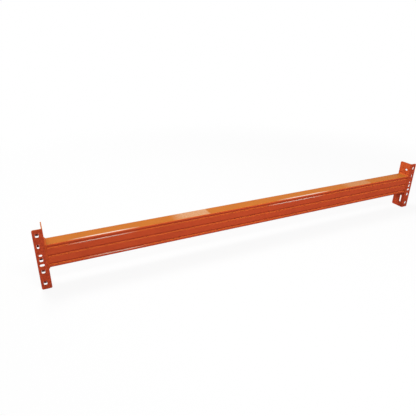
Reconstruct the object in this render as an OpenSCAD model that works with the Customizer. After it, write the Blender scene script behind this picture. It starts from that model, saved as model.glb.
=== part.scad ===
// Pallet rack beam: a box beam of two nested roll-formed C sections, welded at each end
// to a folded steel connector whose pressed hooks hang in the slots of a rack upright.
//
// Frame: +X along the beam, +Y to the back, +Z up. The origin is on the floor under the
// middle of the beam, half way between the connector's front face and its back edge.

/* [Box beam] */
// Clear width of the bay, from upright to upright
bay_w = 1850; // [800:10:2700]
// Height of the box
box_h = 97; // [75:1:110]
// Depth of the box, front web to rear web
box_d = 60; // [40:1:80]
// Thickness of the rolled sheet
sheet_t = 2; // [1.5:0.1:2.5]
// Bend radius of the sheet, at its middle
sheet_r = 3; // [2.5:0.1:3.5]
// Gap from a flange's free edge to the start of the other section's bend
flange_gap = 1; // [0.5:0.1:3]

/* [Grooves] */
// Distance of the outer grooves from the edges of their web, at their centres
groove_edge = 12.5; // [12:0.1:16]
// Depth of a groove
groove_d = 4.5; // [3.5:0.1:5]
// Slope of a groove's walls, from the face of the web
groove_a = 50; // [45:1:60]
// Flat at the bottom of a groove
groove_floor = 1; // [0.5:0.1:2]

/* [Connector] */
// Height of the box's underside above the connector's foot
conn_drop = 85.5; // [78:0.5:95]
// Thickness of the connector plate
plate_t = 4; // [3:0.5:4.5]
// Inner radius of the connector's fold
fold_r = 2.5; // [2:0.5:4]
// Rounding of the connector's free corners
corner_r = 6.5; // [2:0.5:8]
// Reach of the hooked leg past the end of the box
hook_leg_w = 37; // [35:0.5:50]
// Set-back of the box's front web from the hooked leg's front face
box_setback = 2; // [1:0.5:4]
// How far the side leg stands out behind the rear weld
side_leg_margin = 0.5; // [0:0.5:6]

/* [Hooks] */
// Pitch of the hooks, as the slots in the upright
hook_pitch = 50; // [45:1:55]
// Height of the lowest hook's opening above the connector's foot, at its centre
hook_foot = 26.5; // [20:0.5:30]
// Distance of the highest hook's opening below the connector's head, at its centre
hook_head = 22.5; // [20:0.5:30]
// Distance of the hooks' middle line from the end of the box
hook_x = 21.3; // [19:0.1:24]
// Width of a hook
hook_w = 11.5; // [9:0.5:14]
// Height of a hook's opening
hook_open_h = 18; // [17:0.5:22]
// Gap beside a hook in its opening
hook_side_gap = 0.3; // [0.3:0.1:2]
// Room behind the plate for the wall of the upright
hook_grip = 3.2; // [2.8:0.1:4]
// Distance of a hook's tip below the top of its opening
hook_drop = 13.5; // [9.5:0.1:13.5]
// Bend radius of a hook, at its middle
hook_r = 3.2; // [2.5:0.1:3.3]
// Rounding of a hook's tip
tip_r = 2.5; // [1:0.1:3]
// Rounding of the lower corners of a hook's opening
opening_r = 3.7; // [2:0.1:3.7]
// Width of the guide hook, the last but one
guide_w = 7; // [7:0.5:12]
// Height of the guide hook's opening
guide_open_h = 19.5; // [19:0.5:22]
// Distance of the guide hook's tip below the top of its opening
guide_drop = 15; // [10:0.1:15]
// How far the guide hook sits outwards of the others
guide_x_off = 2.8; // [0:0.1:3]
// Height of the guide hook's opening above its place on the pitch
guide_z_off = 5.5; // [0:0.1:8]

/* [Holes] */
// Width of the locking slot, above the third hook
lock_slot_w = 12.5; // [11.5:0.5:18]
// Height of the locking slot
lock_slot_h = 9; // [8:0.5:11]
// Height of the locking slot's centre above the third hook's
lock_slot_up = 17.5; // [16:0.5:19]
// Width of the bolt slot, below the third hook
bolt_slot_w = 17.5; // [12:0.5:22]
// Height of the bolt slot
bolt_slot_h = 10.5; // [8:0.5:11.5]
// Distance of the bolt slot's centre below the third hook's
bolt_slot_down = 23.5; // [22:0.5:26]
// Length of the level slot in the side leg, above the box
level_slot_l = 14.5; // [10:0.5:18]
// Height of the level slot
level_slot_h = 9.5; // [8:0.5:10]
// Height of the level slot's centre above the top of the box
level_slot_up = 30; // [20:0.5:34]
// Distance of the level slot's centre from the hooked leg's front face
level_slot_y = 24; // [18:0.5:34]
// Width of the upright slot in the side leg, below the box
upright_slot_w = 10; // [8:0.5:14]
// Length of the upright slot
upright_slot_l = 40; // [20:1:50]
// Distance of the upright slot's centre below the underside of the box
upright_slot_down = 39.5; // [34:0.5:44]
// Distance of the upright slot's centre line from the hooked leg's front face
upright_slot_y = 21; // [18:0.5:34]

/* [Welds] */
// Leg of the weld, along the box and along the side leg
weld_leg = 4.5; // [3:0.1:5]
// Set-back of the flush front weld from the hooked leg's front face
weld_setback = 0.2; // [0.1:0.1:0.8]

/* [Hidden] */
$fn = 64;
// Flats in a full turn of a bend, at least
bend_steps = 40;
// How far a weld's shape is carried into the sheet before it is cut back to its face
weld_bite = sheet_t / 4;
// Flats on the round face of a weld
weld_steps = 5;
// How far a weld runs out along the box inside a groove, for each unit of depth
fill_slope = 0.7;

orange = [0.80, 0.34, 0.14];
deep_orange = [0.72, 0.27, 0.13];

// The hooks stand at whole places on the pitch. The last but one is the guide hook, and the
// locking slot and the bolt slot stand above and below the middle one.
hook_count = 5;
guide_place = hook_count - 2;
slot_place = floor(hook_count / 2);

box_l = bay_w - 2 * plate_t;
box_top = conn_drop + box_h;
conn_h = hook_foot + (hook_count - 1) * hook_pitch + hook_head;
conn_d = box_setback + box_d + weld_leg + side_leg_margin;
front_y = -conn_d / 2;
fold_outer_r = fold_r + plate_t;

// A C section is lower than the box by the sheet of the other section's flange.
section_h = box_h - sheet_t;
bend_outer_r = sheet_r + sheet_t / 2;
flange_l = box_d - bend_outer_r - flange_gap;

// Run of a groove's wall across the web, and half the groove between its sharp corners.
groove_run = groove_d / tan(groove_a);
groove_half = groove_run + groove_floor / 2 + sheet_r * tan(groove_a / 2);

function polar(r, a) = r * [cos(a), sin(a)];
function heading(v) = atan2(v.y, v.x);
function wrapped(a) = a > 180 ? a - 360 : a < -180 ? a + 360 : a;
function reversed(list) = [for (i = [len(list) - 1 : -1 : 0]) list[i]];

// Edge of a strip of thickness t that follows a path and turns each corner in a round
// bend of radius r. Side is 1 for the edge on the path's left and -1 for its right.
function strip_edge(path, r, t, side) = let (last = len(path) - 1) [
    path[0] + polar(side * t / 2, heading(path[1] - path[0]) + 90),
    for (i = [1 : last - 1]) each bend_edge(path[i], path[i] - path[i - 1],
        path[i + 1] - path[i], r, side * t / 2),
    path[last] + polar(side * t / 2, heading(path[last] - path[last - 1]) + 90)
];
function bend_edge(corner, run_in, run_out, r, offset) = let (
    from = heading(run_in),
    turn = wrapped(heading(run_out) - from),
    hand = sign(turn),
    centre = corner - polar(r * tan(abs(turn) / 2), from) + polar(hand * r, from + 90),
    steps = ceil(abs(turn) / 360 * bend_steps)
) [
    for (i = [0 : steps])
        centre + polar(r - hand * offset, from - hand * 90 + turn * i / steps)
];

// Bent strip of sheet or plate, seen from its edge.
module strip(path, r, t) {
    polygon(concat(strip_edge(path, r, t, 1), reversed(strip_edge(path, r, t, -1))));
}

// Middle of the sheet of one C section, as [depth, height], from the free edge of its top
// flange round its web to the free edge of its bottom flange.
function groove_path(z) = [
    [sheet_t / 2, z + groove_half],
    [sheet_t / 2 + groove_d, z + groove_half - groove_run],
    [sheet_t / 2 + groove_d, z - groove_half + groove_run],
    [sheet_t / 2, z - groove_half]
];
function web_path() = [
    for (z = [section_h - groove_edge, section_h / 2, groove_edge]) each groove_path(z)
];
function section_path() = [
    [flange_l, section_h - sheet_t / 2],
    [sheet_t / 2, section_h - sheet_t / 2],
    each web_path(),
    [sheet_t / 2, sheet_t / 2],
    [flange_l, sheet_t / 2]
];

module c_section() strip(section_path(), sheet_r, sheet_t);

// The space that a C section encloses, out to the middle of its sheet.
module c_section_core() {
    corner = sheet_t / 2 + sheet_r;
    polygon([
        [flange_l, section_h - sheet_t / 2],
        [corner, section_h - sheet_t / 2],
        [sheet_t / 2, section_h - corner],
        each web_path(),
        [sheet_t / 2, corner],
        [corner, sheet_t / 2],
        [flange_l, sheet_t / 2]
    ]);
}

// Places of the two sections in the box: the front one's top flange lies over the rear
// one's, and the rear one's bottom flange lies under the front one's.
module front_place() translate([0, sheet_t]) children();
module rear_place() translate([box_d, section_h]) rotate(180) children();

// Stands a [depth, height] outline up in the box and runs it along the beam.
module along_box(l) {
    translate([0, front_y + box_setback, conn_drop]) rotate([90, 0, 90]) linear_extrude(l)
        children();
}

module front_profile() {
    color(orange) translate([-box_l / 2, 0, 0]) along_box(box_l) front_place() c_section();
}

module rear_profile() {
    color(orange) translate([-box_l / 2, 0, 0]) along_box(box_l) rear_place() c_section();
}

// Rectangle from the origin with its two far corners rounded.
module leg(w, h, r) {
    square([w - r, h]);
    translate([0, r]) square([w, h - 2 * r]);
    for (y = [r, h - r]) translate([w - r, y]) circle(r);
}

module slot(w, h) {
    square([w - h, h], center = true);
    for (side = [-1, 1]) translate([side * (w - h) / 2, 0]) circle(d = h);
}

// Rectangle hung from the origin, with its two lower corners rounded.
module hung_opening(w, h, r) {
    translate([-w / 2, r - h]) square([w, h - r]);
    translate([r - w / 2, -h]) square([w - 2 * r, r]);
    for (side = [-1, 1]) translate([side * (w / 2 - r), r - h]) circle(r);
}

function hook_z(place) = hook_foot + place * hook_pitch;

// Each hook as [x, height of its opening's top, width, opening height, drop of its tip].
function hooks() = [
    for (place = [0 : hook_count - 1])
        place == guide_place
            ? [-hook_x - guide_x_off, hook_z(place) + guide_z_off + guide_open_h / 2,
                guide_w, guide_open_h, guide_drop]
            : [-hook_x, hook_z(place) + hook_open_h / 2, hook_w, hook_open_h, hook_drop]
];

// Tongue that is cut free at its sides and foot, bent back past the plate and down again.
module hook(w, drop) {
    back = plate_t * 3 / 2 + hook_grip;
    intersection() {
        translate([-w / 2, 0, 0]) rotate([90, 0, 90]) linear_extrude(w)
            strip([[plate_t / 2, plate_t / 2], [plate_t / 2, -hook_r], [back, -hook_r],
                [back, -drop]], hook_r, plate_t);
        translate([0, back + plate_t, plate_t]) rotate([90, 0, 0])
            linear_extrude(back + 2 * plate_t) hung_opening(w, drop + plate_t, tip_r);
    }
}

module hook_leg() {
    translate([0, plate_t, 0]) rotate([90, 0, 0]) linear_extrude(plate_t)
        difference() {
            translate([-fold_outer_r, 0]) mirror([1, 0])
                leg(hook_leg_w - fold_outer_r, conn_h, corner_r);
            for (h = hooks())
                translate([h[0], h[1]])
                    hung_opening(h[2] + 2 * hook_side_gap, h[3], opening_r);
            translate([-hook_x, hook_z(slot_place) + lock_slot_up])
                slot(lock_slot_w, lock_slot_h);
            translate([-hook_x, hook_z(slot_place) - bolt_slot_down])
                slot(bolt_slot_w, bolt_slot_h);
        }
}

module side_leg_blank() {
    translate([-plate_t, fold_outer_r, 0]) rotate([90, 0, 90]) linear_extrude(plate_t)
        leg(conn_d - fold_outer_r, conn_h, corner_r);
}

module side_leg() {
    difference() {
        side_leg_blank();
        translate([-2 * plate_t, 0, 0]) rotate([90, 0, 90]) linear_extrude(3 * plate_t) {
            translate([level_slot_y, box_top + level_slot_up])
                slot(level_slot_l, level_slot_h);
            translate([upright_slot_y, conn_drop - upright_slot_down])
                rotate(90) slot(upright_slot_l, upright_slot_w);
        }
    }
}

module fold() {
    translate([-fold_outer_r, fold_outer_r, 0]) linear_extrude(conn_h)
        intersection() {
            difference() {
                circle(fold_outer_r);
                circle(fold_r);
            }
            translate([0, -fold_outer_r]) square(fold_outer_r);
        }
}

// Left-hand connector: X is 0 at the end of the box, Y at the hooked leg's front face.
module connector() {
    hook_leg();
    fold();
    side_leg();
    for (h = hooks()) translate([h[0], 0, h[1]]) hook(h[2], h[4]);
}

module left_connector() {
    color(deep_orange) translate([-box_l / 2, front_y, 0]) connector();
}

module right_connector() {
    color(deep_orange) mirror([1, 0, 0]) translate([-box_l / 2, front_y, 0]) connector();
}

// Section of a weld as [distance out of the box's face, distance along the box]: a
// slightly round fillet. It goes inwards by depth, where it fills what the box's face
// leaves open, and back through the plate's thickness, where it fills beside the fold.
module weld_section(depth) {
    inset = weld_leg / 2;
    throat = [weld_leg + inset, inset];
    toe = heading(throat);
    polygon([
        [-depth, -plate_t],
        [weld_leg, -plate_t],
        for (i = [0 : weld_steps])
            polar(norm(throat), toe + (90 - 2 * toe) * i / weld_steps) - [inset, inset],
        [-depth, weld_leg + depth * fill_slope]
    ]);
}

// Ring of weld round the box's outline, which lies in the XY plane: four rounded corners,
// and the straight run that follows each.
module weld_ring() {
    r = bend_outer_r;
    far_x = box_d - r;
    far_y = box_h - r;
    corners = [[r, r], [far_x, r], [far_x, far_y], [r, far_y]];
    for (k = [0 : 3]) {
        level = k % 2 == 0;
        depth = (level ? sheet_t : groove_d) + weld_bite;
        translate(corners[k]) rotate(90 * k) {
            rotate(180) rotate_extrude(angle = 90)
                translate([r, 0]) weld_section(sheet_t + weld_bite);
            translate([0, -r]) mirror([0, 1, 0]) rotate([90, 0, 90])
                linear_extrude((level ? box_d : box_h) - 2 * r) weld_section(depth);
        }
    }
}

// Weld of the left-hand end, on the connector's axes. Its front is flush with the fold.
module weld() {
    difference() {
        translate([0, box_setback, conn_drop]) rotate([90, 0, 90]) weld_ring();
        translate([0, box_setback, conn_drop]) rotate([90, 0, 90])
            linear_extrude(3 * weld_leg) {
                front_place() { c_section(); c_section_core(); }
                rear_place() { c_section(); c_section_core(); }
            }
        fold();
        side_leg_blank();
        translate([-conn_d, weld_setback - conn_d, 0]) cube([2 * conn_d, conn_d, conn_h]);
    }
}

module left_weld() {
    color(orange) translate([-box_l / 2, front_y, 0]) weld();
}

module right_weld() {
    color(orange) mirror([1, 0, 0]) translate([-box_l / 2, front_y, 0]) weld();
}

front_profile();
rear_profile();
left_connector();
right_connector();
left_weld();
right_weld();
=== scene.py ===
"""Finish of a pallet rack beam: rolled sheet, pressed connectors, weld beads and powder coat.

The solid model gives the pieces' places and outer sizes, and the settings give the rest. The
operators build the finished pieces, and a small studio to look at them in. Lengths are in metres,
with +X along the beam, +Y back and +Z up.
"""

import math

import bmesh
import bpy
from bpy.props import FloatProperty, FloatVectorProperty, IntProperty, PointerProperty
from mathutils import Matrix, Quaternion, Vector


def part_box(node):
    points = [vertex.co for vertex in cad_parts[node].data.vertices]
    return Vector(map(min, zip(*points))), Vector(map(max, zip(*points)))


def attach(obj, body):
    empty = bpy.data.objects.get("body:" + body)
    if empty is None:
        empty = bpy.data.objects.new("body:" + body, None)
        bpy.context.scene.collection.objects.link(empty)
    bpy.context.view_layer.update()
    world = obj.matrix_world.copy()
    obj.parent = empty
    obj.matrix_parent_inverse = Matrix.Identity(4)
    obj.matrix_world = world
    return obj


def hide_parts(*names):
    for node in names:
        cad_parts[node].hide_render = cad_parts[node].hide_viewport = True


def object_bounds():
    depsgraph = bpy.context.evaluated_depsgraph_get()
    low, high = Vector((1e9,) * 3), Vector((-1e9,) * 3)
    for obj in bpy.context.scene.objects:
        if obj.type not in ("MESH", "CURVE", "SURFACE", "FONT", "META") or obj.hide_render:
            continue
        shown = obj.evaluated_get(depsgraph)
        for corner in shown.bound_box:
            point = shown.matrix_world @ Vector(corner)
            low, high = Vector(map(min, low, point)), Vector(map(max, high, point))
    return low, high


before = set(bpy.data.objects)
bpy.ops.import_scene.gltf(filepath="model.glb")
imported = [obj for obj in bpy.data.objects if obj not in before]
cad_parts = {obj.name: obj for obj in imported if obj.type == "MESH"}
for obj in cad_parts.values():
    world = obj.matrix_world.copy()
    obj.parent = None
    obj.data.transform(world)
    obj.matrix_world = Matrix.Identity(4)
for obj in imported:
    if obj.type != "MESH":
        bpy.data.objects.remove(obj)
cad_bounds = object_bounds()

bl_info = {
    "name": "Pallet Rack Beam",
    "version": (1, 0, 0),
    "blender": (4, 5, 0),
    "location": "3D Viewport > Sidebar > Rack Beam",
    "description": "Builds the finished pallet rack beam and a studio to show it in",
    "category": "Add Mesh",
}

MM = 0.001
BODY = "root"
SIDES = ("left", "right")

# Painted reflections, as stretches along the beam from its middle: pale patches on the level top
# and pale highlight lines on the bends. A patch has its strength too.
REFLECTION_PATCHES = ((-0.425, -0.262, 1.0), (0.49, 0.658, 0.55))
CORNER_HIGHLIGHTS = ((-0.84, -0.65), (0.08, 0.31))
TOP_GROOVE_HIGHLIGHTS = ((-0.85, -0.66), (0.02, 0.27))
LOW_GROOVE_HIGHLIGHTS = ((-0.79, -0.62),)

# Bands of the painted highlight lines round the section, as height plus depth, from the sharp
# corner and from the middle of a groove.
CORNER_BAND = (2 * MM, 9 * MM)
GROOVE_BAND = (-4 * MM, 0.5 * MM)

# Soft ends and edges of the painted reflections, of the painted shade in the hooks' windows and
# of the painted light on the side legs.
PATCH_ENDS = (50 * MM, 8 * MM)
HIGHLIGHT_ENDS = (90 * MM, 90 * MM)
BAND_EDGES = (0.4 * MM, 0.4 * MM)
RECESS_EDGE = 0.5 * MM
SIDE_EDGE = 6 * MM

# Ragged ends of the painted reflections: grain and reach. Specks in a patch: grain and faintest
# share.
RAGGED_GRAIN = 9 * MM
RAGGED_REACH = 10 * MM
SPECK_GRAIN = 7 * MM
SPECK_FAINTEST = 0.3

# The coat: how much its roughness varies, how much a painted reflection patch adds to it, how
# dark the clouds make the painted-light top colour, and how it mirrors.
ROUGHNESS_VARIES = (-0.05, 0.06)
PATCH_ROUGHENS = 0.2
TOP_SHADE = 0.93
COAT_IOR = 1.45
COAT_SPECULAR = 0.02

# The part of a noise's range over which each pattern of the coat runs from none to full.
CLOUD_SPAN = (0.3, 0.7)
ROUGHNESS_SPAN = (0.25, 0.75)
SPECK_SPAN = (0.3, 0.62)

# The way that a face looks: its normal along an axis, where a tone begins and where it is full.
# Undersides take painted shade; ledges, upward faces and the side legs take painted light.
UNDERSIDE = (-0.5, -0.72)
LEDGE = (0.5, 0.72)
UPWARD = (0.8, 0.98)
LEVEL = (0.95, 0.99)
FORWARD = (-0.1, -0.3)
SIDEWAYS = (0.62, 0.98)

# The hooks' fronts, which take painted shade, lie further behind the plate's face and further
# out from the box than this.
HOOK_BACK = 1 * MM
HOOK_OUT = 9 * MM

# Weld beads: flats in each corner of the run, step along it, and grain of its unevenness.
RUN_CORNER_FLATS = 8
RUN_STEP = 0.4 * MM
RUN_WOBBLE = 6 * MM

# Meshes: closer corners are merged, flatter bends are dissolved, gentler edges are shaded smooth
# and sharper ones are rounded.
MERGE_WITHIN = 0.01 * MM
FLAT_BELOW = math.radians(0.5)
SMOOTH_BELOW = math.radians(30)
ROUND_ABOVE = math.radians(40)

# Studio: half the floor's side, its grey, and each softbox with its place and size.
FLOOR_HALF = 8.0
FLOOR_GREY = (0.6, 0.6, 0.6, 1)
SOFTBOXES = (
    ("top", (0.4, 0.2, 1.9), (1.2, 0.8)),
    ("back", (-1.1, 1.6, 3.4), (1.4, 1.2)),
    ("front", (-0.27, -1.7, 2.2), (1.0, 0.5)),
    ("right", (2.8, -1.2, 1.4), (0.8, 0.8)),
)


# ---------------------------------------------------------------- settings

class RackBeamSheet(bpy.types.PropertyGroup):
    """Sizes of the rolled sheet and rounding of the plate's edges."""

    sheet_t: FloatProperty(
        name="Sheet Thickness", description="Thickness of the rolled sheet",
        default=2 * MM, min=1 * MM, max=3 * MM, precision=4, unit="LENGTH")
    sheet_r: FloatProperty(
        name="Bend Radius", description="Radius of every bend, at the middle of the sheet",
        default=3 * MM, min=2 * MM, max=4 * MM, precision=4, unit="LENGTH")
    bend_steps: IntProperty(
        name="Bend Steps", description="Flats in each bend", default=10, min=3, max=32)
    groove_edge: FloatProperty(
        name="Groove Edge", description="Outer grooves, from the edges of their web",
        default=12.5 * MM, min=12 * MM, max=16 * MM, precision=4, unit="LENGTH")
    groove_d: FloatProperty(
        name="Groove Depth", description="Depth of each groove", default=4.5 * MM,
        min=3 * MM, max=5 * MM, precision=4, unit="LENGTH")
    groove_a: FloatProperty(
        name="Groove Slope", description="Slope of a groove's walls, from the face of the web",
        default=math.radians(50), min=math.radians(40), max=math.radians(65),
        subtype="ANGLE", unit="ROTATION")
    groove_floor: FloatProperty(
        name="Groove Floor", description="Flat at the bottom of a groove", default=1 * MM,
        min=0.5 * MM, max=2 * MM, precision=4, unit="LENGTH")
    flange_gap: FloatProperty(
        name="Flange Gap", description="Gap from a flange's edge to the other sheet's bend",
        default=1 * MM, min=0.5 * MM, max=3 * MM, precision=4, unit="LENGTH")
    edge_round: FloatProperty(
        name="Edge Rounding", description="Rounding that the coat leaves on the plate's edges",
        default=0.45 * MM, min=0.1 * MM, max=1 * MM, precision=5, unit="LENGTH")


class RackBeamWeld(bpy.types.PropertyGroup):
    """The weld bead round each end of the box."""

    grain: FloatProperty(
        name="Bead Grain", description="Size of the finest form in the bead's surface",
        default=0.5 * MM, min=0.3 * MM, max=1 * MM, precision=5, unit="LENGTH")
    ripple_pitch: FloatProperty(
        name="Ripple Pitch", description="Distance from one ripple of the bead to the next",
        default=2.6 * MM, min=1.5 * MM, max=5 * MM, precision=4, unit="LENGTH")
    ripple_h: FloatProperty(
        name="Ripple Height", description="Depth of the ripples in the bead",
        default=0.22 * MM, min=0, max=0.5 * MM, precision=5, unit="LENGTH")
    wander: FloatProperty(
        name="Wander", description="Unevenness of the bead along its run",
        default=0.3 * MM, min=0, max=0.6 * MM, precision=5, unit="LENGTH")
    seed: IntProperty(name="Seed", description="Choice of unevenness", default=7, min=0)


class RackBeamPaint(bpy.types.PropertyGroup):
    """Colours and surface of the powder coat, and the colours of its painted light, shade and
    highlights.
    """

    box_colour: FloatVectorProperty(
        name="Box", description="Coat on the rolled sheet", subtype="COLOR", size=3,
        default=(0.487, 0.062, 0.0205), min=0, max=1)
    # Painted light: faces that look up take this warmer colour, where the light falls on them.
    lit_top_colour: FloatVectorProperty(
        name="Faded Top", description="Coat on faces that look up, which light has faded",
        subtype="COLOR", size=3, default=(0.385, 0.116, 0.018), min=0, max=1)
    # Painted light: sloping faces that look up, such as the grooves' lower walls, take this
    # lighter colour.
    ledge_light_colour: FloatVectorProperty(
        name="Ledges", description="Coat on sloping faces that catch the light", size=3,
        subtype="COLOR", default=(0.55, 0.108, 0.022), min=0, max=1)
    # Painted shade: faces that look down, such as the grooves' upper walls, take this darker
    # colour.
    underside_shade_colour: FloatVectorProperty(
        name="Undersides", description="Coat on faces that look down, dulled by grime", size=3,
        subtype="COLOR", default=(0.34, 0.038, 0.021), min=0, max=1)
    plate_colour: FloatVectorProperty(
        name="Connector", description="Coat on the pressed plate", subtype="COLOR", size=3,
        default=(0.435, 0.048, 0.02), min=0, max=1)
    # Painted light: the side legs' faces above the top flange take this lighter colour.
    side_leg_light_colour: FloatVectorProperty(
        name="Side Legs", description="Coat of the connectors' side legs", subtype="COLOR",
        size=3, default=(0.51, 0.071, 0.021), min=0, max=1)
    weld_colour: FloatVectorProperty(
        name="Weld", description="Coat on the weld beads", subtype="COLOR", size=3,
        default=(0.45, 0.057, 0.016), min=0, max=1)
    # Painted reflection: pale patches of reflected lamp light on the level top take this colour.
    reflection_patch_colour: FloatVectorProperty(
        name="Scuff", description="Coat where the top flange is rubbed dull",
        subtype="COLOR", size=3, default=(0.46, 0.256, 0.14), min=0, max=1)
    # Painted shade: the hooks' fronts, deep in their windows, take this dark colour.
    recess_shade_colour: FloatVectorProperty(
        name="Thin Coat", description="Coat on the hooks' fronts, which the spray hardly reached",
        subtype="COLOR", size=3, default=(0.13, 0.022, 0.014), min=0, max=1)
    # Painted highlight: pale lines along the bends, where lamps reflect, take this colour.
    highlight_line_colour: FloatVectorProperty(
        name="Rubbed Edge", description="Coat where handling has rubbed a bend pale",
        subtype="COLOR", size=3, default=(0.57, 0.42, 0.35), min=0, max=1)
    roughness: FloatProperty(
        name="Roughness", description="Roughness of the coat", subtype="FACTOR",
        default=0.42, min=0.05, max=0.8)


class RackBeamStage(bpy.types.PropertyGroup):
    """Camera, lamps and floor."""

    camera_place: FloatVectorProperty(
        name="Camera", description="Place of the camera", subtype="TRANSLATION", unit="LENGTH",
        default=(-0.9289, -1.4021, 0.9032), size=3)
    camera_aim: FloatVectorProperty(
        name="Aim", description="Point in the middle of the view", subtype="TRANSLATION",
        unit="LENGTH", default=(-0.2604, 0.0, 0.1959), size=3)
    camera_roll: FloatProperty(
        name="Roll", description="Tilt of the camera about its own axis",
        default=math.radians(0.8), subtype="ANGLE", unit="ROTATION")
    lens: FloatProperty(
        name="Lens", description="Focal length, in millimetres, on a 36 mm sensor",
        default=34.43, min=10, max=200)
    top_power: FloatProperty(
        name="Top", description="Power of the softbox above the beam", unit="POWER",
        default=4, min=0)
    back_power: FloatProperty(
        name="Back", description="Power of the large softbox high behind the left end",
        unit="POWER", default=147, min=0)
    front_power: FloatProperty(
        name="Front", description="Power of the softbox in front of the beam", unit="POWER",
        default=47, min=0)
    right_power: FloatProperty(
        name="Right", description="Power of the softbox beyond the right end", unit="POWER",
        default=19, min=0)
    ambient: FloatProperty(
        name="Ambient", description="Light from all round", default=0.2, min=0, max=2)


class RackBeamSettings(bpy.types.PropertyGroup):
    """All settings of the rack beam."""

    sheet: PointerProperty(type=RackBeamSheet)
    weld: PointerProperty(type=RackBeamWeld)
    paint: PointerProperty(type=RackBeamPaint)
    stage: PointerProperty(type=RackBeamStage)


# ---------------------------------------------------------------- node helpers

def add_node(tree, kind, **values):
    """New node. Values named as its properties are set there, and the others on its inputs."""
    node = tree.nodes.new(kind)
    for name, value in values.items():
        if name in node.bl_rna.properties:
            setattr(node, name, value)
        else:
            node.inputs[name.replace("_", " ").title()].default_value = value
    return node


def maths(tree, operation, *terms):
    """Output of a Math node whose inputs are sockets or numbers."""
    node = tree.nodes.new("ShaderNodeMath")
    node.operation = operation
    for socket, term in zip(node.inputs, terms):
        if isinstance(term, bpy.types.NodeSocket):
            tree.links.new(term, socket)
        else:
            socket.default_value = term
    return node.outputs[0]


def product(tree, first, *others):
    """Output of Math nodes that multiply sockets or numbers."""
    for other in others:
        first = maths(tree, "MULTIPLY", first, other)
    return first


def join(tree, links):
    """Links each output to its input."""
    for out, into in links:
        tree.links.new(out, into)


def shape_tree(name, inputs):
    """Geometry Nodes tree with named inputs. Returns the tree, its input and output nodes."""
    tree = bpy.data.node_groups.new(name, "GeometryNodeTree")
    tree.interface.new_socket("Geometry", in_out="INPUT", socket_type="NodeSocketGeometry")
    tree.interface.new_socket("Geometry", in_out="OUTPUT", socket_type="NodeSocketGeometry")
    for label, kind in inputs.items():
        tree.interface.new_socket(label, in_out="INPUT", socket_type=f"NodeSocket{kind}")
    return tree, tree.nodes.new("NodeGroupInput"), tree.nodes.new("NodeGroupOutput")


def finish_tree(tree, group_in, group_out, geometry):
    """Ends a tree in Realize Instances and Set Material."""
    realize = tree.nodes.new("GeometryNodeRealizeInstances")
    coat = tree.nodes.new("GeometryNodeSetMaterial")
    join(tree, (
        (geometry, realize.inputs["Geometry"]),
        (realize.outputs[0], coat.inputs["Geometry"]),
        (group_in.outputs["Material"], coat.inputs["Material"]),
        (coat.outputs[0], group_out.inputs["Geometry"]),
    ))


# ---------------------------------------------------------------- mesh helpers

def new_piece(name, mesh):
    """New object of the scene with this mesh."""
    piece = bpy.data.objects.new(name, mesh)
    bpy.context.scene.collection.objects.link(piece)
    return piece


def path_mesh(name, points):
    """Open line of edges through the points."""
    mesh = bpy.data.meshes.new(name)
    edges = [(i, i + 1) for i in range(len(points) - 1)]
    mesh.from_pydata(points, edges, [])
    return mesh


def solid_copy(node):
    """Copy of a solid's mesh with its corners merged and its flat faces whole."""
    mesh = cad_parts[node].data.copy()
    mesh.materials.clear()
    bm = bmesh.new()
    bm.from_mesh(mesh)
    bmesh.ops.remove_doubles(bm, verts=bm.verts, dist=MERGE_WITHIN)
    bmesh.ops.dissolve_limit(bm, angle_limit=FLAT_BELOW, verts=bm.verts, edges=bm.edges)
    bm.to_mesh(mesh)
    bm.free()
    return mesh


def settle(piece):
    """Keeps what the piece's modifiers make as its plain mesh, without the modifiers."""
    graph = bpy.context.evaluated_depsgraph_get()
    mesh = bpy.data.meshes.new_from_object(piece.evaluated_get(graph))
    if not mesh.polygons:
        raise RuntimeError(f"{piece.name}: its modifiers made no faces")
    piece.modifiers.clear()
    piece.data = mesh


def keep_inside(mesh, low, high):
    """Draws every point that stands out of this box back to its surface."""
    for vertex in mesh.vertices:
        vertex.co = [min(max(v, a), b) for v, a, b in zip(vertex.co, low, high)]


def grow(piece, tree, values):
    """Runs a tree on the piece with these inputs, and keeps the result as its plain mesh."""
    modifier = piece.modifiers.new(tree.name, "NODES")
    modifier.node_group = tree
    for item in tree.interface.items_tree:
        if item.in_out == "INPUT" and item.name in values:
            modifier[item.identifier] = values[item.name]
    settle(piece)


def soften(piece):
    """Smooth shading that keeps flat faces flat."""
    piece.data.shade_smooth()
    piece.data.set_sharp_from_angle(angle=SMOOTH_BELOW)
    even = piece.modifiers.new("Even Shading", "WEIGHTED_NORMAL")
    even.keep_sharp = True


def place(piece, slot, *nodes):
    """Puts a finished piece on the body in the place of these solids."""
    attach(piece, BODY)
    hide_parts(*nodes)


# ---------------------------------------------------------------- powder coat

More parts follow.
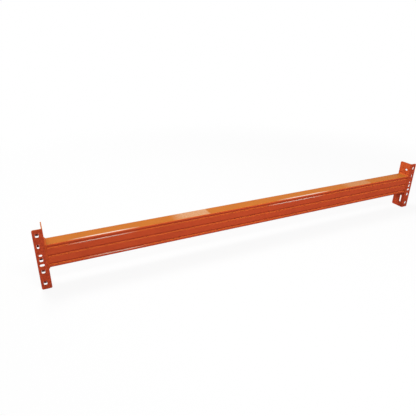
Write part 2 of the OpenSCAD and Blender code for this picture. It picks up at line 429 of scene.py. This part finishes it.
class CoatNodes:
    """Node tree of a coat, with the ways to mask a layer and to lay it on."""

    def __init__(self, tree):
        self.tree = tree
        self.coords = tree.nodes.new("ShaderNodeTexCoord").outputs["Object"]
        self.spot = self.split(self.coords)
        self.normal = self.split(tree.nodes.new("ShaderNodeNewGeometry").outputs["Normal"])

    def split(self, vector):
        """X, Y and Z outputs of a vector."""
        node = self.tree.nodes.new("ShaderNodeSeparateXYZ")
        self.tree.links.new(vector, node.inputs[0])
        return node.outputs

    def noise(self, size, detail):
        """Noise with features of about this size."""
        node = add_node(self.tree, "ShaderNodeTexNoise", scale=1 / size, detail=detail)
        self.tree.links.new(self.coords, node.inputs["Vector"])
        return node.outputs["Fac"]

    def spread(self, value, limits, results=(0.0, 1.0)):
        """Value carried from these limits to these results, and held at them outside."""
        node = add_node(
            self.tree, "ShaderNodeMapRange", from_min=limits[0], from_max=limits[1],
            to_min=results[0], to_max=results[1])
        self.tree.links.new(value, node.inputs["Value"])
        return node.outputs["Result"]

    def facing(self, axis, limits):
        """Share of a tone that belongs to faces that look this way."""
        return self.spread(self.normal[axis], limits)

    def inside(self, value, start, end, soft):
        """1 from start to end, rising in the first soft length and falling in the second."""
        rise = self.spread(value, (start, start + soft[0]))
        fall = self.spread(value, (end, end + soft[1]), (1.0, 0.0))
        return product(self.tree, rise, fall)

    def blend(self, factor, under, over):
        """Colour laid over another by a factor. Each colour is a socket or three numbers."""
        node = self.tree.nodes.new("ShaderNodeMix")
        node.data_type = "RGBA"
        self.tree.links.new(factor, node.inputs["Factor"])
        for socket, value in ((node.inputs[6], under), (node.inputs[7], over)):
            if isinstance(value, bpy.types.NodeSocket):
                self.tree.links.new(value, socket)
            else:
                socket.default_value = (*value, 1)
        return node.outputs[2]


def tints(tone, strength):
    """Darker and lighter neighbours of a colour, which the coat's clouds run between."""
    lift = (1 + strength, 1 + 2 * strength, 1 + strength)
    shade = tuple(c * (1 - strength) for c in tone)
    return shade, tuple(min(1, c * k) for c, k in zip(tone, lift))


def facing_tones(nodes, colour, paint, mottle, side):
    """Cloudy colour, with painted shade on faces that look down and painted light on those that
    look up and on the side legs above the top flange.
    """
    size, strength = mottle
    clouds = nodes.spread(nodes.noise(size, detail=4), CLOUD_SPAN)
    coat = nodes.blend(clouds, *tints(colour, strength))
    # Painted shade: faces that look down are darker.
    coat = nodes.blend(nodes.facing("Z", UNDERSIDE), coat, paint.underside_shade_colour)
    # Painted light: sloping faces that look up are lighter.
    coat = nodes.blend(nodes.facing("Z", LEDGE), coat, paint.ledge_light_colour)
    # Painted light: faces that look up take the warmer top colour, clouded like the rest.
    top_shade = tuple(c * TOP_SHADE for c in paint.lit_top_colour)
    tinted = nodes.blend(clouds, top_shade, paint.lit_top_colour)
    coat = nodes.blend(nodes.facing("Z", UPWARD), coat, tinted)
    # Painted light: faces that look along the beam, above the top flange, take the lighter side
    # colour.
    if side:
        side_leg_light_colour, height = side
        sideways = nodes.spread(maths(nodes.tree, "ABSOLUTE", nodes.normal["X"]), SIDEWAYS)
        above = nodes.spread(nodes.spot["Z"], (height - SIDE_EDGE, height + SIDE_EDGE))
        factor = product(nodes.tree, sideways, above)
        coat = nodes.blend(factor, coat, nodes.blend(clouds, *tints(side_leg_light_colour, strength)))
    return coat


def painted_reflections(nodes, coat, rough, paint, reflection_patches, highlights):
    """Colour and roughness of the coat with painted reflections laid over it: pale patches on the
    level top and pale highlight lines on the bends.
    """
    tree = nodes.tree
    ragged = nodes.noise(RAGGED_GRAIN, detail=2)
    along = maths(tree, "MULTIPLY_ADD", ragged, RAGGED_REACH, nodes.spot["X"])
    level = nodes.facing("Z", LEVEL)
    specks = nodes.noise(SPECK_GRAIN, detail=5)
    patchy = nodes.spread(specks, SPECK_SPAN, (SPECK_FAINTEST, 1.0))
    # Painted reflection: pale, rougher patches on the level top, flecked by the specks.
    for start, end, strength in reflection_patches:
        patch = nodes.inside(along, start, end, PATCH_ENDS)
        factor = product(tree, patch, level, patchy, strength)
        coat = nodes.blend(factor, coat, paint.reflection_patch_colour)
        rough = maths(tree, "MULTIPLY_ADD", factor, PATCH_ROUGHENS, rough)
    # Painted highlights: pale lines along the bends, on faces that look forward or up.
    shown = maths(tree, "MAXIMUM", nodes.facing("Y", FORWARD), level)
    round_corner = maths(tree, "ADD", nodes.spot["Y"], nodes.spot["Z"])
    for start, end, low, high in highlights:
        run = nodes.inside(along, start, end, HIGHLIGHT_ENDS)
        band = nodes.inside(round_corner, low, high, BAND_EDGES)
        coat = nodes.blend(product(tree, run, band, shown), coat, paint.highlight_line_colour)
    return coat, rough


def painted_recess_shade(nodes, coat, paint, depth, reach):
    """Colour of the coat with painted shade on the fronts that lie back in the hooks' windows."""
    tree = nodes.tree
    behind = nodes.spread(nodes.spot["Y"], (depth, depth + RECESS_EDGE))
    out = maths(tree, "ABSOLUTE", nodes.spot["X"])
    beyond = nodes.spread(out, (reach, reach + RECESS_EDGE))
    factor = product(tree, behind, beyond, nodes.facing("Y", FORWARD))
    return nodes.blend(factor, coat, paint.recess_shade_colour)


def powder_coat(name, colour, paint, mottle, peel, reflection_patches=(), highlights=(), recess=None, side=None):
    """Powder coat: cloudy colour, orange-peel surface, painted light and shade, and painted
    reflections.

    mottle is (size, strength) of the clouds in the colour and peel (size, depth) of the surface.
    reflection_patches are stretches (start, end, strength) of painted reflection on the level
    faces on top. highlights are stretches (start, end, low, high) of painted highlight lines on
    the front and top, where low and high are sums of height and depth, which grow steadily round
    the front
    corner. recess is (depth, reach): faces that look forward from behind that depth, further out
    than that reach, have painted shade. side is (colour, height): faces that look along the beam
    have that colour above that height, as painted light.
    """
    material = bpy.data.materials.new(name)
    material.use_nodes = True
    tree = material.node_tree
    nodes = CoatNodes(tree)
    coat = facing_tones(nodes, colour, paint, mottle, side)
    limits = tuple(paint.roughness + change for change in ROUGHNESS_VARIES)
    rough = nodes.spread(nodes.noise(mottle[0] / 2, detail=3), ROUGHNESS_SPAN, limits)
    if reflection_patches or highlights:
        coat, rough = painted_reflections(nodes, coat, rough, paint, reflection_patches, highlights)
    if recess:
        coat = painted_recess_shade(nodes, coat, paint, *recess)

    peel_size, peel_depth = peel
    bump = add_node(tree, "ShaderNodeBump", distance=peel_depth)
    shader = tree.nodes["Principled BSDF"]
    shader.inputs["IOR"].default_value = COAT_IOR
    shader.inputs["Specular IOR Level"].default_value = COAT_SPECULAR
    join(tree, (
        (nodes.noise(peel_size, detail=2), bump.inputs["Height"]),
        (bump.outputs[0], shader.inputs["Normal"]),
        (coat, shader.inputs["Base Color"]),
        (rough, shader.inputs["Roughness"]),
    ))
    return material


# ---------------------------------------------------------------- rolled sheet

def rolled_sheet_tree():
    """Follows the middle line of a section, rounds its corners and gives it width and wall."""
    tree, group_in, group_out = shape_tree("Rolled Sheet", {
        "Bend Radius": "Float", "Bend Steps": "Int", "Sheet Thickness": "Float",
        "Length": "Float", "Material": "Material"})
    line = tree.nodes.new("GeometryNodeMeshToCurve")
    bends = add_node(tree, "GeometryNodeFilletCurve", mode="POLY")
    wall = tree.nodes.new("GeometryNodeCurvePrimitiveQuadrilateral")
    sweep = add_node(tree, "GeometryNodeCurveToMesh", fill_caps=True)
    join(tree, (
        (group_in.outputs["Geometry"], line.inputs["Mesh"]),
        (line.outputs[0], bends.inputs["Curve"]),
        (group_in.outputs["Bend Steps"], bends.inputs["Count"]),
        (group_in.outputs["Bend Radius"], bends.inputs["Radius"]),
        (group_in.outputs["Length"], wall.inputs["Width"]),
        (group_in.outputs["Sheet Thickness"], wall.inputs["Height"]),
        (bends.outputs[0], sweep.inputs["Curve"]),
        (wall.outputs[0], sweep.inputs["Profile Curve"]),
    ))
    finish_tree(tree, group_in, group_out, sweep.outputs[0])
    return tree


def section_path(sheet, section_h, box_d):
    """Middle of one C section, as (depth, height), from its top flange to its bottom flange."""
    half_t = sheet.sheet_t / 2
    flange_end = box_d - sheet.sheet_r - half_t - sheet.flange_gap
    run = sheet.groove_d / math.tan(sheet.groove_a)
    half = run + sheet.groove_floor / 2 + sheet.sheet_r * math.tan(sheet.groove_a / 2)
    floor_y = half_t + sheet.groove_d
    path = [(flange_end, section_h - half_t), (half_t, section_h - half_t)]
    for z in (section_h - sheet.groove_edge, section_h / 2, sheet.groove_edge):
        path += [(half_t, z + half), (floor_y, z + half - run), (floor_y, z - half + run),
                 (half_t, z - half)]
    return path + [(half_t, half_t), (flange_end, half_t)]


def highlight_lines(low, high, groove_edge):
    """Stretches of painted highlight lines on the front section, as (start, end, low, high)."""
    corner = low.y + high.z
    top_groove = corner - groove_edge
    low_groove = low.y + low.z + groove_edge
    places = (
        (corner, CORNER_BAND, CORNER_HIGHLIGHTS),
        (top_groove, GROOVE_BAND, TOP_GROOVE_HIGHLIGHTS),
        (low_groove, GROOVE_BAND, LOW_GROOVE_HIGHLIGHTS),
    )
    return [(*stretch, middle + band[0], middle + band[1])
            for middle, band, stretches in places for stretch in stretches]


class RACKBEAM_OT_profiles(bpy.types.Operator):
    """Roll the two C sections that nest into the box"""

    bl_idname = "rack_beam.profiles"
    bl_label = "Box Sections"

    def execute(self, context):
        sheet = context.scene.rack_beam.sheet
        paint = context.scene.rack_beam.paint
        low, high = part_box("front_profile")
        rear_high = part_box("rear_profile")[1]
        # The box's coat has painted reflections: pale patches on the top and highlight lines on
        # the bends.
        coat = powder_coat(
            "box_powder_coat", paint.box_colour, paint, mottle=(60 * MM, 0.05),
            peel=(1.6 * MM, 0.03 * MM), reflection_patches=REFLECTION_PATCHES,
            highlights=highlight_lines(low, high, sheet.groove_edge))
        tree = rolled_sheet_tree()
        path = section_path(sheet, high.z - low.z, rear_high.y - low.y)
        outlines = {
            "front_profile": [(0, low.y + d, low.z + h) for d, h in path],
            "rear_profile": [(0, rear_high.y - d, rear_high.z - h) for d, h in path],
        }
        for node, outline in outlines.items():
            piece = new_piece(node.replace("profile", "section"), path_mesh(node, outline))
            grow(piece, tree, {
                "Bend Radius": sheet.sheet_r, "Bend Steps": sheet.bend_steps,
                "Sheet Thickness": sheet.sheet_t, "Length": high.x - low.x, "Material": coat})
            soften(piece)
            place(piece, "box_paint", node)
        return {"FINISHED"}


# ---------------------------------------------------------------- connectors

class RACKBEAM_OT_connectors(bpy.types.Operator):
    """Finish the two pressed connectors with rounded edges and their coat"""

    bl_idname = "rack_beam.connectors"
    bl_label = "End Connectors"

    def execute(self, context):
        sheet = context.scene.rack_beam.sheet
        paint = context.scene.rack_beam.paint
        plate_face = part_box("left_connector")[0].y
        box_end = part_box("front_profile")[1].x
        flange_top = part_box("rear_profile")[1].z
        # The connectors' coat has painted shade in the hooks' windows and painted light on the
        # side legs.
        coat = powder_coat(
            "connector_powder_coat", paint.plate_colour, paint, mottle=(8 * MM, 0.28),
            peel=(3 * MM, 0.12 * MM), recess=(plate_face + HOOK_BACK, box_end + HOOK_OUT),
            side=(paint.side_leg_light_colour, flange_top))
        for side in SIDES:
            node = f"{side}_connector"
            piece = new_piece(f"{side}_end_connector", solid_copy(node))
            piece.data.materials.append(coat)
            edges = piece.modifiers.new("Rounded Edges", "BEVEL")
            edges.width = sheet.edge_round
            edges.segments = 3
            edges.limit_method = "ANGLE"
            edges.angle_limit = ROUND_ABOVE
            edges.use_clamp_overlap = False
            edges.miter_outer = "MITER_ARC"
            settle(piece)
            keep_inside(piece.data, *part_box(node))
            soften(piece)
            place(piece, "connector_paint", node)
        return {"FINISHED"}


# ---------------------------------------------------------------- welds

def bead_tree():
    """Lays ripples along the run of a bead: each point looks up how far along the run it is."""
    tree, group_in, group_out = shape_tree("Weld Bead", {
        "Run Width": "Float", "Run Height": "Float", "Run Centre": "Vector",
        "Corner Radius": "Float", "Ripple Pitch": "Float", "Ripple Height": "Float",
        "Wander": "Float", "Seed": "Int", "Material": "Material"})
    ring = tree.nodes.new("GeometryNodeCurvePrimitiveQuadrilateral")
    upright = (math.pi / 2, 0, math.pi / 2)
    turn = add_node(tree, "GeometryNodeTransform", rotation=upright)
    corners = add_node(tree, "GeometryNodeFilletCurve", mode="POLY", count=RUN_CORNER_FLATS)
    steps = add_node(tree, "GeometryNodeResampleCurve", mode="LENGTH", length=RUN_STEP)
    along = tree.nodes.new("GeometryNodeSplineParameter")
    keep = add_node(tree, "GeometryNodeStoreNamedAttribute", data_type="FLOAT")
    keep.inputs["Name"].default_value = "run"
    points = add_node(tree, "GeometryNodeCurveToPoints", mode="EVALUATED")
    nearest = add_node(tree, "GeometryNodeSampleNearest", domain="POINT")
    look_up = add_node(tree, "GeometryNodeSampleIndex", data_type="FLOAT", domain="POINT")
    stored = add_node(tree, "GeometryNodeInputNamedAttribute", data_type="FLOAT")
    stored.inputs["Name"].default_value = "run"
    join(tree, (
        (group_in.outputs["Run Width"], ring.inputs["Width"]),
        (group_in.outputs["Run Height"], ring.inputs["Height"]),
        (ring.outputs[0], corners.inputs["Curve"]),
        (group_in.outputs["Corner Radius"], corners.inputs["Radius"]),
        (corners.outputs[0], turn.inputs["Geometry"]),
        (group_in.outputs["Run Centre"], turn.inputs["Translation"]),
        (turn.outputs[0], steps.inputs["Curve"]),
        (steps.outputs[0], keep.inputs["Geometry"]),
        (along.outputs["Length"], keep.inputs["Value"]),
        (keep.outputs[0], points.inputs["Curve"]),
        (points.outputs["Points"], nearest.inputs["Geometry"]),
        (points.outputs["Points"], look_up.inputs["Geometry"]),
        (stored.outputs["Attribute"], look_up.inputs["Value"]),
        (nearest.outputs["Index"], look_up.inputs["Index"]),
    ))

    wobble = add_node(
        tree, "ShaderNodeTexNoise", noise_dimensions="4D", scale=1 / RUN_WOBBLE, detail=2)
    pitch = group_in.outputs["Ripple Pitch"]
    drift = product(tree, maths(tree, "SUBTRACT", wobble.outputs["Fac"], 0.5), pitch)
    turns = maths(tree, "DIVIDE", maths(tree, "ADD", look_up.outputs[0], drift), pitch)
    arch = maths(tree, "ABSOLUTE", maths(tree, "SINE", product(tree, turns, math.pi)))
    valley = maths(tree, "SUBTRACT", arch, 1.0)
    dip = product(tree, valley, group_in.outputs["Ripple Height"])
    hollow = maths(tree, "SUBTRACT", wobble.outputs["Fac"], 1.0)
    sag = product(tree, hollow, group_in.outputs["Wander"])
    inward = add_node(tree, "ShaderNodeVectorMath", operation="SCALE")
    move = tree.nodes.new("GeometryNodeSetPosition")
    join(tree, (
        (tree.nodes.new("GeometryNodeInputPosition").outputs[0], wobble.inputs["Vector"]),
        (group_in.outputs["Seed"], wobble.inputs["W"]),
        (tree.nodes.new("GeometryNodeInputNormal").outputs[0], inward.inputs[0]),
        (maths(tree, "ADD", dip, sag), inward.inputs["Scale"]),
        (group_in.outputs["Geometry"], move.inputs["Geometry"]),
        (inward.outputs[0], move.inputs["Offset"]),
    ))
    finish_tree(tree, group_in, group_out, move.outputs[0])
    return tree


class RACKBEAM_OT_welds(bpy.types.Operator):
    """Lay the weld bead round each end of the box"""

    bl_idname = "rack_beam.welds"
    bl_label = "Weld Beads"

    def execute(self, context):
        settings = context.scene.rack_beam
        paint = settings.paint
        weld = settings.weld
        coat = powder_coat(
            "weld_powder_coat", paint.weld_colour, paint, mottle=(6 * MM, 0.1),
            peel=(1.2 * MM, 0.05 * MM))
        tree = bead_tree()
        low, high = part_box("front_profile")
        rear_low, rear_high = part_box("rear_profile")
        middle_y = (low.y + rear_high.y) / 2
        middle_z = (rear_low.z + high.z) / 2
        for side, end in zip(SIDES, (low.x, high.x)):
            node = f"{side}_weld"
            piece = new_piece(f"{side}_weld_bead", solid_copy(node))
            body = piece.modifiers.new("Bead Body", "REMESH")
            body.mode = "VOXEL"
            body.voxel_size = weld.grain
            grow(piece, tree, {
                "Run Width": rear_high.y - low.y, "Run Height": high.z - rear_low.z,
                "Run Centre": (end, middle_y, middle_z), "Corner Radius": settings.sheet.sheet_r,
                "Ripple Pitch": weld.ripple_pitch, "Ripple Height": weld.ripple_h,
                "Wander": weld.wander, "Seed": weld.seed, "Material": coat})
            piece.data.shade_smooth()
            place(piece, "weld_paint", node)
        return {"FINISHED"}


# ---------------------------------------------------------------- stage

def screen_rays(tree):
    """1 for rays that show a surface as it is: from the camera, in a gloss or through glass."""
    rays = tree.nodes.new("ShaderNodeLightPath").outputs
    seen = maths(tree, "MAXIMUM", rays["Is Camera Ray"], rays["Is Glossy Ray"])
    return maths(tree, "MAXIMUM", seen, rays["Is Transmission Ray"])


def studio_world(ambient):
    """White to look at, and an even light of its own strength."""
    world = bpy.data.worlds.new("studio")
    world.use_nodes = True
    tree = world.node_tree
    sky = tree.nodes["Background"]
    sky.inputs["Color"].default_value = (1, 1, 1, 1)
    strength = add_node(tree, "ShaderNodeMapRange", to_min=ambient, to_max=1.0)
    tree.links.new(screen_rays(tree), strength.inputs["Value"])
    tree.links.new(strength.outputs[0], sky.inputs["Strength"])
    return world


def floor_material(shadow_share, fade_from, fade_to):
    """Pale floor that keeps a soft shadow near the object and goes white further out."""
    material = bpy.data.materials.new("studio_floor")
    material.use_nodes = True
    tree = material.node_tree
    tree.nodes.clear()
    out = tree.nodes.new("ShaderNodeOutputMaterial")
    matt = tree.nodes.new("ShaderNodeBsdfDiffuse")
    matt.inputs["Color"].default_value = FLOOR_GREY
    glow = tree.nodes.new("ShaderNodeEmission")
    distance = add_node(tree, "ShaderNodeVectorMath", operation="LENGTH")
    share = add_node(
        tree, "ShaderNodeMapRange", interpolation_type="SMOOTHSTEP", from_min=fade_from,
        from_max=fade_to, to_min=1 - shadow_share)
    mix = tree.nodes.new("ShaderNodeMixShader")
    join(tree, (
        (tree.nodes.new("ShaderNodeTexCoord").outputs["Object"], distance.inputs[0]),
        (distance.outputs["Value"], share.inputs["Value"]),
        (product(tree, screen_rays(tree), share.outputs[0]), mix.inputs["Fac"]),
        (matt.outputs[0], mix.inputs[1]),
        (glow.outputs[0], mix.inputs[2]),
        (mix.outputs[0], out.inputs["Surface"]),
    ))
    return material


def softbox(name, spot, aim, size, power):
    """Rectangular lamp that the camera doesn't see."""
    lamp = bpy.data.lights.new(name, "AREA")
    lamp.shape = "RECTANGLE"
    lamp.size, lamp.size_y = size
    lamp.energy = power
    holder = bpy.data.objects.new(name, lamp)
    bpy.context.scene.collection.objects.link(holder)
    holder.location = spot
    holder.rotation_mode = "QUATERNION"
    holder.rotation_quaternion = (aim - Vector(spot)).to_track_quat("-Z", "Y")
    holder.visible_camera = False


class RACKBEAM_OT_stage(bpy.types.Operator):
    """Set up the floor, the soft light and the camera"""

    bl_idname = "rack_beam.stage"
    bl_label = "Studio"

    def execute(self, context):
        scene = context.scene
        stage = scene.rack_beam.stage
        scene.view_settings.view_transform = "Standard"
        scene.world = studio_world(stage.ambient)

        mesh = bpy.data.meshes.new("studio_floor")
        corners = ((-1, -1), (1, -1), (1, 1), (-1, 1))
        mesh.from_pydata([(x * FLOOR_HALF, y * FLOOR_HALF, 0) for x, y in corners], [],
                         [(0, 1, 2, 3)])
        mesh.materials.append(floor_material(shadow_share=0.1, fade_from=1.3, fade_to=2.6))
        floor = new_piece("studio_floor", mesh)

        middle = (cad_bounds[0] + cad_bounds[1]) / 2
        for name, spot, size in SOFTBOXES:
            softbox(f"{name}_softbox", spot, middle, size, getattr(stage, f"{name}_power"))

        lens = bpy.data.cameras.new("camera")
        lens.sensor_width = 36
        lens.lens = stage.lens
        camera = bpy.data.objects.new("camera", lens)
        scene.collection.objects.link(camera)
        camera.location = stage.camera_place
        look = Vector(stage.camera_aim) - Vector(stage.camera_place)
        roll = Quaternion((0, 0, 1), stage.camera_roll)
        camera.rotation_mode = "QUATERNION"
        camera.rotation_quaternion = look.to_track_quat("-Z", "Y") @ roll
        scene.camera = camera
        return {"FINISHED"}


# ---------------------------------------------------------------- panel and registration

OPERATORS = (RACKBEAM_OT_profiles, RACKBEAM_OT_connectors, RACKBEAM_OT_welds,
             RACKBEAM_OT_stage)
GROUPS = (RackBeamSheet, RackBeamWeld, RackBeamPaint, RackBeamStage, RackBeamSettings)


class RACKBEAM_PT_panel(bpy.types.Panel):
    """Settings and build steps of the rack beam"""

    bl_idname = "RACKBEAM_PT_panel"
    bl_label = "Pallet Rack Beam"
    bl_space_type = "VIEW_3D"
    bl_region_type = "UI"
    bl_category = "Rack Beam"

    def draw(self, context):
        settings = context.scene.rack_beam
        for group in (settings.sheet, settings.weld, settings.paint, settings.stage):
            box = self.layout.box()
            for name in group.__annotations__:
                box.prop(group, name)
        for operator in OPERATORS:
            self.layout.operator(operator.bl_idname)


CLASSES = (*GROUPS, *OPERATORS, RACKBEAM_PT_panel)


def register():
    """Make the settings, the build steps and the panel known to Blender."""
    for cls in CLASSES:
        bpy.utils.register_class(cls)
    bpy.types.Scene.rack_beam = PointerProperty(type=RackBeamSettings)


def unregister():
    """Take the settings, the build steps and the panel away again."""
    del bpy.types.Scene.rack_beam
    for cls in reversed(CLASSES):
        bpy.utils.unregister_class(cls)


def main():
    """Build the whole beam and its studio."""
    register()
    bpy.ops.rack_beam.profiles()
    bpy.ops.rack_beam.connectors()
    bpy.ops.rack_beam.welds()
    bpy.ops.rack_beam.stage()


if __name__ == "__main__":
    main()
